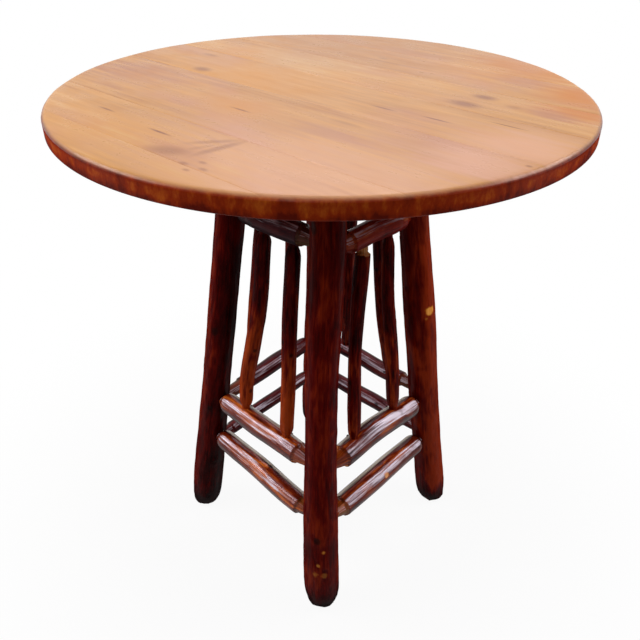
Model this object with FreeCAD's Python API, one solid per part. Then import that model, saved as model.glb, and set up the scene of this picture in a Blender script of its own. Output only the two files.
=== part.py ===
import FreeCAD, Part

import math
import os

from FreeCAD import Vector

# A round rustic pub table. An edge-glued pine top is screwed to two battens, and four splayed hickory
# poles stand under the battens. Three tiers of hickory rails tie the poles together on four sides, and
# two spindles stand between the apron rail and the middle rail of each side.
# Millimetres, +Z up. The origin is on the floor under the centre of the round top.
# The front leg stands towards -Y, the right leg towards +X.

# Round top
top_radius = 457.2
table_height = 1066.8
top_thickness = 29.4
top_edge_round = 5.0
under_edge_bevel = 2.5
grain_angle = -43.0
# Seams between the boards, across the grain, as shares of the top's radius
seam_shares = (-0.842, -0.591, -0.168, 0.127, 0.389, 0.667)

# Battens under the top, along the front and the back of the base
batten_angle = 45.0
batten_length = 700.0
batten_width = 78.0
batten_thickness = 28.0
batten_end_taper = 60.0
batten_end_thickness = 12.0
# Screws along a batten, from its middle: towards its ends, as shares of its half length, and by the
# legs, as shares of a leg's distance. They stand off its middle by a share of its half width
batten_end_screw_shares = (-0.93, -0.66, 0.69, 0.935)
batten_leg_screw_shares = (-1.155, -0.099, 1.106)
batten_screw_side_share = 0.45

# Legs
leg_foot_spread = 305.0
leg_top_spread = 150.0
leg_radius = 37.5
leg_foot_cut = 12.0
leg_foot_cut_rise = 15.0
leg_tenon_radius = 16.0
leg_tenon_length = 20.0
leg_tenon_tip_gap = 1.0

# Rails. The height of each tier at the leg centres is a share of the legs' height
apron_height_share = 0.8371
middle_height_share = 0.3636
lower_height_share = 0.2328
rail_stagger = 20.0
rail_radius = 23.0
rail_tenon_radius = 13.5
rail_taper = 40.0
taper_middle_share = 0.3
rail_neck = 3.0
rail_tenon_web = 1.5

# Spindles
spindle_radius = 15.0
spindle_tenon_radius = 9.0
spindle_tenon_depth = 17.0
spindle_taper = 20.0
spindle_neck = 3.0

# Fits and fasteners
glue_gap = 0.15
tenon_tip_gap = 0.6
nail_radius = 1.3
nail_head_radius = 2.4
nail_head_thickness = 1.2
rail_nail_length = 28.0
rail_nail_inset = 3.0
spindle_nail_length = 24.0
spindle_nail_inset = 0.4
nail_gap = 0.05
screw_shank_radius = 2.4
screw_head_radius = 4.7
screw_head_depth = 3.6
screw_length = 44.0
screw_inset = 0.5
screw_gap = 0.05
cut_overrun = 20.0

# Height of each leg section, as a share of the leg's height
leg_station_shares = (0.0, 0.06, 0.14, 0.25, 0.36, 0.46, 0.58, 0.7, 0.82, 0.92, 1.0)

# Azimuth of each leg, its thickness at each section as a share of the leg radius, and how far its
# centre strays there, round the table and outwards, as shares of the leg radius
legs = {
    "front": {
        "azimuth": -90.0,
        "foot_cut_share": 1.6,
        "radius_shares": (1.02, 1.06, 1.04, 0.98, 0.9, 0.85, 0.83, 0.855, 0.85, 0.82, 0.8),
        "round_shares": (0.02, -0.03, -0.08, -0.11, -0.12, -0.1, -0.08, 0.02, 0.15, 0.16, 0.14),
        "out_shares": (-0.1, -0.02, 0.04, 0.02, -0.04, -0.06, 0.0, 0.06, 0.05, 0.0, 0.0),
    },
    "right": {
        "azimuth": 0.0,
        "foot_cut_share": 1.0,
        "radius_shares": (0.98, 1.0, 0.97, 0.94, 0.94, 0.91, 0.93, 0.85, 0.8, 0.79, 0.78),
        "round_shares": (0.0, 0.05, 0.08, 0.04, -0.05, -0.1, -0.04, 0.06, 0.08, 0.04, 0.0),
        "out_shares": (0.02, 0.02, 0.02, 0.0, -0.02, 0.02, 0.06, 0.09, 0.09, 0.07, 0.04),
    },
    "back": {
        "azimuth": 90.0,
        "foot_cut_share": 1.0,
        "radius_shares": (0.97, 0.99, 0.96, 0.91, 0.88, 0.86, 0.84, 0.83, 0.81, 0.8, 0.79),
        "round_shares": (0.1, 0.1, 0.09, 0.05, 0.0, -0.08, -0.14, -0.14, -0.12, -0.1, -0.08),
        "out_shares": (0.0, -0.04, -0.04, 0.0, 0.06, 0.08, 0.04, 0.0, -0.04, -0.02, 0.0),
    },
    "left": {
        "azimuth": 180.0,
        "foot_cut_share": 1.1,
        "radius_shares": (0.97, 1.0, 0.99, 0.93, 0.88, 0.84, 0.83, 0.81, 0.79, 0.77, 0.76),
        "round_shares": (0.0, -0.04, -0.06, -0.02, 0.06, 0.1, 0.08, 0.0, -0.06, -0.04, 0.0),
        "out_shares": (-0.12, -0.07, -0.05, -0.06, -0.07, -0.08, -0.08, -0.07, -0.05, -0.02, 0.0),
    },
}

# The legs that each side of the base runs between
sides = {
    "left_front": ("left", "front"),
    "front_right": ("front", "right"),
    "right_back": ("right", "back"),
    "back_left": ("back", "left"),
}

# Each rail: how far its two ends are raised, as shares of the rail stagger, its thickness along it as
# shares of the rail radius, its tapers as shares of the rail taper, and its bends sideways and
# upwards, as shares of the rail radius
rail_shapes = {
    "apron_rail_left_front": {
        "rise_shares": (0.1, 0.55),
        "radius_shares": (0.95, 0.97, 0.94, 0.96, 0.97, 0.95),
        "taper_shares": (0.9, 1.0),
        "side_shares": (0, 0.06, 0.1, 0.08, 0.03, 0),
        "up_shares": (0, 0.02, 0.04, 0.03, 0.01, 0),
    },
    "apron_rail_front_right": {
        "rise_shares": (-0.05, -0.8),
        "radius_shares": (0.92, 0.91, 0.94, 0.92, 0.95, 0.93),
        "taper_shares": (0.85, 0.9),
        "side_shares": (0, -0.05, -0.1, -0.12, -0.06, 0),
        "up_shares": (0, 0, 0.02, 0.04, 0.02, 0),
    },
    "apron_rail_right_back": {
        "rise_shares": (0.05, -0.65),
        "radius_shares": (0.84, 0.86, 0.88, 0.86, 0.84, 0.85),
        "taper_shares": (1.1, 1.0),
        "side_shares": (0, 0.06, 0.05, -0.03, -0.06, 0),
        "up_shares": (0, 0.05, 0.08, 0.05, 0, 0),
    },
    "apron_rail_back_left": {
        "rise_shares": (0.05, -0.35),
        "radius_shares": (0.88, 0.9, 0.87, 0.9, 0.91, 0.88),
        "taper_shares": (1.0, 1.1),
        "side_shares": (0, -0.05, -0.06, -0.1, -0.05, 0),
        "up_shares": (0, -0.03, 0, 0.05, 0.03, 0),
    },
    "middle_rail_left_front": {
        "rise_shares": (0.35, 0.55),
        "radius_shares": (1.06, 1.09, 1.11, 1.1, 1.08, 1.06),
        "taper_shares": (1.05, 1.1),
        "side_shares": (0, 0.05, 0.07, 0.03, -0.02, 0),
        "up_shares": (0, 0, 0.02, 0, 0.02, 0),
    },
    "middle_rail_front_right": {
        "rise_shares": (0.15, -0.55),
        "radius_shares": (1.15, 1.17, 1.18, 1.17, 1.16, 1.14),
        "taper_shares": (1.15, 1.0),
        "side_shares": (0, -0.04, -0.03, 0.04, 0.05, 0),
        "up_shares": (0, 0.24, 0.4, 0.42, 0.27, 0),
    },
    "middle_rail_right_back": {
        "rise_shares": (0.3, -0.3),
        "radius_shares": (0.82, 0.85, 0.86, 0.84, 0.83, 0.82),
        "taper_shares": (1.0, 1.1),
        "side_shares": (0, -0.05, 0.02, 0.07, 0.04, 0),
        "up_shares": (0, -0.14, -0.14, -0.06, 0, 0),
    },
    "middle_rail_back_left": {
        "rise_shares": (-0.95, -1.1),
        "radius_shares": (0.86, 0.9, 0.92, 0.91, 0.88, 0.84),
        "taper_shares": (1.0, 1.5),
        "side_shares": (0, 0.04, 0.08, 0.05, 0.02, 0),
        "up_shares": (0, 0.06, 0.08, 0.02, 0, 0),
    },
    "lower_rail_left_front": {
        "rise_shares": (1.15, 0.35),
        "radius_shares": (1.06, 1.07, 1.09, 1.1, 1.08, 1.06),
        "taper_shares": (0.9, 0.75),
        "side_shares": (0, -0.04, -0.08, -0.04, 0.03, 0),
        "up_shares": (0, 0, 0.02, 0, -0.02, 0),
    },
    "lower_rail_front_right": {
        "rise_shares": (-0.05, -0.4),
        "radius_shares": (1.12, 1.13, 1.14, 1.14, 1.1, 1.07),
        "taper_shares": (1.0, 0.9),
        "side_shares": (0, 0.05, 0.08, 0.03, -0.03, 0),
        "up_shares": (0, 0.08, 0.14, 0.12, 0.05, 0),
    },
    "lower_rail_right_back": {
        "rise_shares": (-0.15, -0.45),
        "radius_shares": (0.82, 0.83, 0.85, 0.85, 0.83, 0.81),
        "taper_shares": (1.15, 1.0),
        "side_shares": (0, 0.05, 0.1, 0.06, 0, 0),
        "up_shares": (0, 0.04, 0.02, -0.03, 0, 0),
    },
    "lower_rail_back_left": {
        "rise_shares": (-0.85, -1.3),
        "radius_shares": (0.72, 0.75, 0.76, 0.76, 0.74, 0.72),
        "taper_shares": (0.9, 1.0),
        "side_shares": (0, -0.05, -0.03, 0.04, 0.05, 0),
        "up_shares": (0, 0.03, 0.02, 0, -0.06, 0),
    },
}

# Each spindle: the side that it stands in, where it meets the apron rail and the middle rail, as
# shares of the way along them, its thickness from the top down as shares of the spindle radius, and
# its bends along the side and outwards, as shares of the spindle radius
spindle_shapes = {
    "spindle_left_front_1": {
        "side": "left_front",
        "along_shares": (0.392, 0.315),
        "radius_shares": (1.02, 1.06, 1.08, 1.1, 1.12, 1.08, 1.0),
        "side_shares": (0, 0.4, 0.62, 0.42, 0.04, -0.34, 0),
        "out_shares": (0, 0.05, 0.1, 0.1, 0.05, 0, 0),
    },
    "spindle_left_front_2": {
        "side": "left_front",
        "along_shares": (0.68, 0.7),
        "radius_shares": (0.98, 1.0, 1.02, 1.0, 0.99, 1.0, 0.96),
        "side_shares": (0, 0, -0.04, -0.04, -0.04, 0, 0),
        "out_shares": (0, 0.1, 0.12, 0.05, -0.05, -0.05, 0),
    },
    "spindle_front_right_1": {
        "side": "front_right",
        "along_shares": (0.397, 0.286),
        "radius_shares": (0.98, 1.0, 0.92, 0.88, 0.9, 0.95, 0.92),
        "side_shares": (0, -0.4, -0.68, -0.72, -0.5, -0.2, 0),
        "out_shares": (0, 0.05, 0.08, 0.05, 0, -0.05, 0),
    },
    "spindle_front_right_2": {
        "side": "front_right",
        "along_shares": (0.675, 0.665),
        "radius_shares": (0.88, 0.9, 0.92, 0.96, 0.99, 0.98, 0.94),
        "side_shares": (0, -0.22, -0.3, -0.22, -0.1, -0.02, 0),
        "out_shares": (0, -0.05, -0.05, 0.05, 0.1, 0.06, 0),
    },
    "spindle_right_back_1": {
        "side": "right_back",
        "along_shares": (0.372, 0.298),
        "radius_shares": (0.86, 0.9, 0.92, 0.9, 0.91, 0.88, 0.84),
        "side_shares": (0, 0.14, 0.34, 0.46, 0.42, 0.22, 0),
        "out_shares": (0, 0.05, 0.05, 0, -0.05, -0.05, 0),
    },
    "spindle_right_back_2": {
        "side": "right_back",
        "along_shares": (0.62, 0.7),
        "radius_shares": (0.9, 0.95, 0.96, 0.93, 0.95, 0.92, 0.88),
        "side_shares": (0, 0.06, 0.1, 0.08, 0.02, -0.03, 0),
        "out_shares": (0, -0.06, -0.1, -0.06, 0, 0.04, 0),
    },
    "spindle_back_left_1": {
        "side": "back_left",
        "along_shares": (0.33, 0.31),
        "radius_shares": (0.88, 0.92, 0.95, 0.9, 0.93, 0.9, 0.86),
        "side_shares": (0, -0.1, -0.2, -0.24, -0.16, -0.06, 0),
        "out_shares": (0, 0.04, 0.1, 0.1, 0.06, 0, 0),
    },
    "spindle_back_left_2": {
        "side": "back_left",
        "along_shares": (0.655, 0.68),
        "radius_shares": (0.92, 0.97, 0.95, 0.98, 1.0, 0.96, 0.9),
        "side_shares": (0, 0.08, 0.16, 0.24, 0.2, 0.08, 0),
        "out_shares": (0, 0.05, 0, -0.06, -0.08, -0.04, 0),
    },
}

UP = Vector(0, 0, 1)

under_top = table_height - top_thickness
under_batten = under_top - batten_thickness
tier_heights = {
    "apron": apron_height_share * under_batten,
    "middle": middle_height_share * under_batten,
    "lower": lower_height_share * under_batten,
}
rail_tenon_tip = rail_tenon_radius + glue_gap + rail_tenon_web


def table_value(shares, stations, place):
    """The value of a table at a place between its stations, on straight lines between them."""
    place = min(max(place, stations[0]), stations[-1])
    for low, high, first, last in zip(stations, stations[1:], shares, shares[1:]):
        if place <= high:
            return first + (last - first) * (place - low) / (high - low)
    return shares[-1]


def horizontal_side(direction):
    """The level direction square to a rail, on the rail's right as seen from above."""
    side = direction.cross(UP)
    side.normalize()
    return side


def circle_wire(centre, normal, radius):
    return Part.Wire(Part.makeCircle(radius, centre, normal))


class Leg:
    """A splayed pole with level sections, from the floor up to the underside of the battens."""

    def __init__(self, shape):
        self.shape = shape
        azimuth = math.radians(shape["azimuth"])
        self.outward = Vector(math.cos(azimuth), math.sin(azimuth), 0)
        self.around = Vector(-math.sin(azimuth), math.cos(azimuth), 0)

    def centre(self, height):
        share = height / under_batten
        spread = leg_foot_spread + (leg_top_spread - leg_foot_spread) * share
        out_share = table_value(self.shape["out_shares"], leg_station_shares, share)
        round_share = table_value(self.shape["round_shares"], leg_station_shares, share)
        outward = self.outward * (spread + out_share * leg_radius)
        return outward + self.around * (round_share * leg_radius) + UP * height

    def radius(self, height):
        shares = self.shape["radius_shares"]
        return leg_radius * table_value(shares, leg_station_shares, height / under_batten)

    def top_direction(self):
        direction = self.centre(under_batten) - self.centre(leg_station_shares[-2] * under_batten)
        direction.normalize()
        return direction

    def pole(self):
        heights = [share * under_batten for share in leg_station_shares]
        rings = [circle_wire(self.centre(z), UP, self.radius(z)) for z in heights]
        return Part.makeLoft(rings, True, False).common(self.foot_limit())

    def foot_limit(self):
        """An upright cone that widens fast from the floor, to cut the foot's lower edge back."""
        sole_radius = self.radius(0) - leg_foot_cut * self.shape["foot_cut_share"]
        top_radius = sole_radius + under_batten * leg_foot_cut / leg_foot_cut_rise
        return Part.makeCone(sole_radius, top_radius, under_batten, self.centre(0), UP)

    def top_tenon(self, gap):
        """The turned tenon that stands in a batten, or with a gap the socket bored for it."""
        direction = self.top_direction()
        base = self.centre(under_batten) - direction * leg_tenon_radius
        length = leg_tenon_radius + leg_tenon_length + (leg_tenon_tip_gap if gap else 0)
        return Part.makeCylinder(leg_tenon_radius + gap, length, base, direction)


class Pole:
    """A pole between two others: a natural body, and at each end a taper, a neck and a tenon."""

    def __init__(self, ends, thickness, bends, reaches, tips, tapers, neck, tenon_radius, side=None):
        self.start, self.end = ends
        self.thickness = thickness
        self.bends = bends
        self.reaches = reaches
        self.tips = tips
        self.tapers = tapers
        self.neck = neck
        self.tenon_radius = tenon_radius
        self.length = (self.end - self.start).Length
        self.direction = (self.end - self.start) * (1 / self.length)
        self.side = side or horizontal_side(self.direction)
        self.up = self.side.cross(self.direction)
        self.stations = [i / (len(thickness) - 1) for i in range(len(thickness))]
        self.body_start = reaches[0] + neck + tapers[0]
        self.body_end = self.length - reaches[1] - neck - tapers[1]

    def body_share(self, distance):
        return (distance - self.body_start) / (self.body_end - self.body_start)

    def centre(self, distance):
        """The pole's natural centre at a distance from its start."""
        share = self.body_share(distance)
        side_bend, up_bend = (table_value(bend, self.stations, share) for bend in self.bends)
        straight = self.start + self.direction * distance
        return straight + self.side * side_bend + self.up * up_bend

    def radius(self, distance):
        return table_value(self.thickness, self.stations, self.body_share(distance))

    def body(self):
        span = self.body_end - self.body_start
        places = [self.body_start + share * span for share in self.stations]
        rings = [circle_wire(self.centre(p), self.direction, self.radius(p)) for p in places]
        return Part.makeLoft(rings, True, False)

    def end_pieces(self, end):
        """The taper, in two cones, and the tenon at one end."""
        place = self.end if end else self.start
        inward = self.direction * (-1 if end else 1)
        outward = inward * -1
        wide = self.thickness[-1 if end else 0]
        taper = self.tapers[end]
        middle = wide + (self.tenon_radius - wide) * taper_middle_share
        neck_end = place + inward * (self.reaches[end] + self.neck)
        tenon_length = self.reaches[end] + self.neck - self.tips[end]
        return [
            Part.makeCone(wide, middle, taper / 2, neck_end + inward * taper, outward),
            Part.makeCone(middle, self.tenon_radius, taper / 2, neck_end + inward * (taper / 2), outward),
            Part.makeCylinder(self.tenon_radius, tenon_length, place + inward * self.tips[end], inward),
        ]

    def solid(self):
        return self.body().fuse(self.end_pieces(0) + self.end_pieces(1))

    def mortise(self, end):
        """The hole bored for the tenon at one end."""
        place = self.end if end else self.start
        inward = self.direction * (-1 if end else 1)
        bottom = self.tips[end] - tenon_tip_gap
        length = self.reaches[end] - bottom + cut_overrun
        return Part.makeCylinder(self.tenon_radius + glue_gap, length, place + inward * bottom, inward)


def scaled(shares, size):
    return [share * size for share in shares]


def make_rail(tier, side):
    shape = rail_shapes[f"{tier}_rail_{side}"]
    first, last = (leg_poles[name] for name in sides[side])
    heights = [tier_heights[tier] + rise for rise in scaled(shape["rise_shares"], rail_stagger)]
    return Pole(
        (first.centre(heights[0]), last.centre(heights[1])),
        scaled(shape["radius_shares"], rail_radius),
        (scaled(shape["side_shares"], rail_radius), scaled(shape["up_shares"], rail_radius)),
        (first.radius(heights[0]), last.radius(heights[1])),
        (rail_tenon_tip, rail_tenon_tip),
        scaled(shape["taper_shares"], rail_taper),
        rail_neck,
        rail_tenon_radius,
    )


def make_spindle(shape):
    side_rails = (rails["apron", shape["side"]], rails["middle", shape["side"]])
    places = [rail.length * share for rail, share in zip(side_rails, shape["along_shares"])]
    ends = [rail.centre(place) for rail, place in zip(side_rails, places)]
    reaches = [rail.radius(place) for rail, place in zip(side_rails, places)]
    return Pole(
        ends,
        scaled(shape["radius_shares"], spindle_radius),
        (scaled(shape["out_shares"], spindle_radius), scaled(shape["side_shares"], spindle_radius)),
        reaches,
        [reach - spindle_tenon_depth for reach in reaches],
        (spindle_taper, spindle_taper),
        spindle_neck,
        spindle_tenon_radius,
        spindle_outward(ends, side_rails[0]),
    )


def spindle_outward(ends, apron):
    """The direction square to a spindle that points out of its side, so its bends keep their sense."""
    outward = (ends[1] - ends[0]).cross(apron.direction)
    outward.normalize()
    return outward


def nail(head_place, direction, length, gap):
    """A nail driven along a direction from its head, or with a gap the hole for it."""
    shank = Part.makeCylinder(nail_radius + gap, length, head_place, direction)
    head_start = head_place - direction * (cut_overrun if gap else 0)
    head_length = nail_head_thickness + (cut_overrun + gap if gap else 0)
    return shank.fuse(Part.makeCylinder(nail_head_radius + gap, head_length, head_start, direction))


def tenon_nail(pole, end, setback, inset, into, length, gap):
    """A nail through a pole's tenon, driven level from the face of the pole that the tenon stands in."""
    place = pole.end if end else pole.start
    inward = pole.direction * (-1 if end else 1)
    head = math.sqrt(pole.reaches[end] ** 2 - setback**2) - inset
    return nail(place + inward * setback - into * head, into, length, gap)


def rail_nail(rail, end, gap):
    """A nail that meets its leg aslant, so its head is set deep."""
    setback = (rail_tenon_tip + rail.reaches[end]) / 2
    into = horizontal_side(rail.direction)
    return tenon_nail(rail, end, setback, rail_nail_inset, into, rail_nail_length, gap)


def spindle_nail(spindle, end, rail, gap):
    setback = spindle.reaches[end] - spindle_tenon_depth / 2
    into = horizontal_side(rail.direction)
    return tenon_nail(spindle, end, setback, spindle_nail_inset, into, spindle_nail_length, gap)


def turned(shape, angle):
    """The shape turned about the table's axis."""
    return shape.rotate(Vector(0, 0, 0), UP, angle)


def top_disc():
    disc = Part.makeCylinder(top_radius, top_thickness, UP * under_top)
    upper = [e for e in disc.Edges if e.BoundBox.ZMin > under_top]
    disc = disc.makeFillet(top_edge_round, upper)
    under = [e for e in disc.Edges if e.BoundBox.ZMax < under_top + under_edge_bevel / 2]
    return disc.makeChamfer(under_edge_bevel, under)


def top_boards():
    """The boards, from one edge of the top to the other, across the grain."""
    disc = turned(top_disc(), grain_angle)
    seams = [-top_radius - cut_overrun]
    seams += [share * top_radius for share in seam_shares]
    seams += [top_radius + cut_overrun]
    boards = []
    reach = top_radius + cut_overrun
    for low, high in zip(seams, seams[1:]):
        blank = Part.makeBox(2 * reach, high - low, top_thickness, Vector(-reach, low, under_top))
        boards.append(disc.common(turned(blank, grain_angle)))
    return boards


def batten_blank():
    """A batten along X with its underside tapered at both ends, centred on the table's axis."""
    half = batten_length / 2
    inner = half - batten_end_taper
    end_bottom = under_top - batten_end_thickness
    outline = [
        Vector(-half, 0, under_top),
        Vector(half, 0, under_top),
        Vector(half, 0, end_bottom),
        Vector(inner, 0, under_batten),
        Vector(-inner, 0, under_batten),
        Vector(-half, 0, end_bottom),
    ]
    face = Part.Face(Part.makePolygon(outline + outline[:1]))
    return face.extrude(Vector(0, batten_width, 0)).translate(Vector(0, -batten_width / 2, 0))


def batten_frames():
    """Each batten's centre and the direction that it runs in, over one pair of legs."""
    frames = {}
    for name, pair in (("front", ("front", "right")), ("back", ("left", "back"))):
        ends = [leg_poles[leg].centre(under_batten) for leg in pair]
        middle = (ends[0] + ends[1]) * 0.5
        along = Vector(math.cos(math.radians(batten_angle)), math.sin(math.radians(batten_angle)), 0)
        across = along.cross(UP)
        offset = across * middle.dot(across)
        frames[name] = (Vector(offset.x, offset.y, 0), along)
    return frames


def screw(place, gap):
    """A countersunk screw driven up from a place on a batten's underside, or the hole for it."""
    head = Part.makeCone(screw_head_radius + gap, screw_shank_radius + gap, screw_head_depth, place, UP)
    shank = Part.makeCylinder(screw_shank_radius + gap, screw_length, place, UP)
    pieces = [shank]
    if gap:
        pieces.append(Part.makeCylinder(screw_head_radius + gap, cut_overrun, place, UP * -1))
    return head.fuse(pieces)


def batten_screw_places():
    """Where the screws stand along a batten, from its middle."""
    leg_place = leg_top_spread * math.cos(math.radians(batten_angle))
    places = scaled(batten_end_screw_shares, batten_length / 2)
    places += scaled(batten_leg_screw_shares, leg_place)
    return sorted(places)


def batten_screws(centre, along, gap):
    across = along.cross(UP)
    screws = []
    for number, place in enumerate(batten_screw_places()):
        side = batten_screw_side_share * (1 if number % 2 else -1)
        foot = centre + along * place + across * (side * batten_width / 2)
        screws.append(screw(foot + UP * (batten_underside(place) + screw_inset), gap))
    return screws


def batten_underside(place):
    """The height of a batten's underside at a place along it, from its middle."""
    into_taper = abs(place) - (batten_length / 2 - batten_end_taper)
    rise = max(0, into_taper) / batten_end_taper * (batten_thickness - batten_end_thickness)
    return under_batten + rise


def save(name, shape):
    solids = shape.Solids
    whole = solids[0] if len(solids) == 1 else Part.makeCompound(solids)
    if not whole.isValid():
        raise ValueError(f"{name} is not a valid shape")
    whole.exportStep(f"parts/{name}.step")
    print(f"{name}: {len(solids)} solid(s), {sum(s.Volume for s in solids):.0f} mm3")


leg_poles = {name: Leg(shape) for name, shape in legs.items()}

rails = {(tier, side): make_rail(tier, side) for tier in tier_heights for side in sides}

spindle_poles = {name: make_spindle(shape) for name, shape in spindle_shapes.items()}

os.makedirs("parts", exist_ok=True)

# Legs, bored for the rails that meet them and for the nails through those tenons
rail_nails = []
rail_cuts = {key: [] for key in rails}
leg_cuts = {name: [] for name in leg_poles}
for key, rail in rails.items():
    for end, leg_name in enumerate(sides[key[1]]):
        hole = rail_nail(rail, end, nail_gap)
        rail_nails.append(rail_nail(rail, end, 0))
        rail_cuts[key].append(hole)
        leg_cuts[leg_name] += [rail.mortise(end), hole]
for name, leg in leg_poles.items():
    save(f"leg_{name}", leg.pole().fuse(leg.top_tenon(0)).cut(leg_cuts[name]).removeSplitter())

# Spindles, and rails bored for them
spindle_nails = []
for name, spindle in spindle_poles.items():
    spindle_cuts = []
    for end, tier in enumerate(("apron", "middle")):
        key = (tier, spindle_shapes[name]["side"])
        hole = spindle_nail(spindle, end, rails[key], nail_gap)
        spindle_nails.append(spindle_nail(spindle, end, rails[key], 0))
        spindle_cuts.append(hole)
        rail_cuts[key] += [spindle.mortise(end), hole]
    save(name, spindle.solid().cut(spindle_cuts).removeSplitter())
for key, rail in rails.items():
    save(f"{key[0]}_rail_{key[1]}", rail.solid().cut(rail_cuts[key]).removeSplitter())
save("rail_nails", Part.makeCompound(rail_nails))
save("spindle_nails", Part.makeCompound(spindle_nails))

# Battens and their screws
sockets = [leg.top_tenon(glue_gap) for leg in leg_poles.values()]
screws = []
screw_holes = []
for name, (centre, along) in batten_frames().items():
    holes = batten_screws(centre, along, screw_gap)
    screws += batten_screws(centre, along, 0)
    screw_holes += holes
    batten = turned(batten_blank(), batten_angle).translate(centre)
    save(f"batten_{name}", batten.cut(sockets + holes).removeSplitter())
save("batten_screws", Part.makeCompound(screws))

# Boards of the round top
for number, board in enumerate(top_boards(), 1):
    save(f"top_board_{number}", board.cut(screw_holes).removeSplitter())
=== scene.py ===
from collections import namedtuple
import itertools
import math

import bmesh
import bpy
import numpy as np
from mathutils import Matrix, Vector
from mathutils.bvhtree import BVHTree


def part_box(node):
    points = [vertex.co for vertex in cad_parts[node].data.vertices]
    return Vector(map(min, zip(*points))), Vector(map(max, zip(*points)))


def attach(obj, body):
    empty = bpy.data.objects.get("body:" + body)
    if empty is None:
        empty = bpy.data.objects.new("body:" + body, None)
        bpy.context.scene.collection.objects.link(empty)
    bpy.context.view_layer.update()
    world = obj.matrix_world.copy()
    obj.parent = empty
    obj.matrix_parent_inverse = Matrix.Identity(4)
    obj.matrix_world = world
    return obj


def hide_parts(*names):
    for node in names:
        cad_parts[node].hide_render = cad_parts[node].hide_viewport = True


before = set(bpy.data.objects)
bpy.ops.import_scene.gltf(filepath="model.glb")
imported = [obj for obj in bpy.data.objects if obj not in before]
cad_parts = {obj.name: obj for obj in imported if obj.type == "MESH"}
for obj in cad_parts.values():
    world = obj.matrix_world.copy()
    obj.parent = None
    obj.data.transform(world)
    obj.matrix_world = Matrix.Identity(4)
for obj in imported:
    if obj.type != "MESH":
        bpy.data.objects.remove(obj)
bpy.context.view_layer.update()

# The rustic table: four splayed hickory legs, three tiers of rails, eight spindles, and a round pine top.
# Metres. Poles and boards are remade here as denser meshes, where the CAD's own stand.

SIDES = ("left_front", "front_right", "right_back", "back_left")
TIERS = ("apron", "middle", "lower")
LEGS = ("front", "right", "back", "left")
TOP_NUMBERS = range(1, 8)
GRAIN_TURN = math.radians(-43.0)

# Reading a CAD pole: how far out its rays start, how many go round, the fewest that have to hit, how level a
# ring of vertices is and how steep an axis counts as upright
RAY_REACH, RAYS, FEWEST_HITS = 0.06, 40, 8
RING_SLACK = 2e-4
UPRIGHT = 0.8

# How a pole's parts are told from its radii: the share of the full radius above which a rail or spindle, and
# a leg, is uncut, how much wider it gets where its tenon ends, and the slope above which it is a taper
UNCUT, UNCUT_LEG = 0.955, 0.86
PAST_TENON = 1.02
TAPERED = 0.02
# Lengths along a pole, in metres
SOFTENED = 0.018
SHOULDER_LENGTH = 0.003
ROUND_END = 0.022

# Dimples at the nails, in metres: how near a head has to be, where the slope starts and ends, the most depth,
# and where the dark mark starts and ends to fade
NAIL_NEAR = 0.004
DIMPLE = (0.0022, 0.005)
DIMPLE_DEPTH = 0.0014
NAIL_RING = (0.0012, 0.0026)


def noise(points, seed):
    """Smooth noise from -1 to 1 at an array of points, one cell per unit."""
    cell = np.floor(points).astype(np.int64)
    part = points - cell
    fade = part**3 * (part * (part * 6 - 15) + 10)
    total = np.zeros(points.shape[:-1])
    for corner in itertools.product((0, 1), repeat=3):
        mixed = (cell + np.array(corner)) @ np.array([73856093, 19349663, 83492791]) + seed * 7919
        mixed = (mixed ^ (mixed >> 13)) * 1274126177 & 0xFFFFFFFF
        mixed = (mixed ^ (mixed >> 15)) * 668265263 & 0xFFFFFFFF
        weight = np.prod(np.where(np.array(corner) == 1, fade, 1 - fade), axis=-1)
        total += weight * (mixed / 0x7FFFFFFF - 1)
    return total


def layered(points, seed, layers):
    """Noise in layers, each at half the size and height of the one before."""
    total = np.zeros(points.shape[:-1])
    for layer in range(layers):
        total += noise(points * 2.0**layer, seed + 31 * layer) * 0.5**layer
    return total


def ramp(value, low, high):
    """0 below low, 1 above high, smooth between."""
    share = np.clip((value - low) / (high - low), 0, 1)
    return share * share * (3 - 2 * share)


def smoothed(values, width):
    """The values along the first axis, softened over a number of stations."""
    reach = int(3 * width)
    kernel = np.exp(-0.5 * (np.arange(-reach, reach + 1) / width) ** 2)
    kernel /= kernel.sum()
    first = 2 * values[:1] - values[1 : reach + 1][::-1]
    last = 2 * values[-1:] - values[-reach - 1 : -1][::-1]
    padded = np.concatenate([first, values, last])
    rows = padded.reshape(len(padded), -1)
    soft = np.stack([np.convolve(row, kernel, "valid") for row in rows.T], axis=1)
    return soft.reshape(values.shape)


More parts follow.
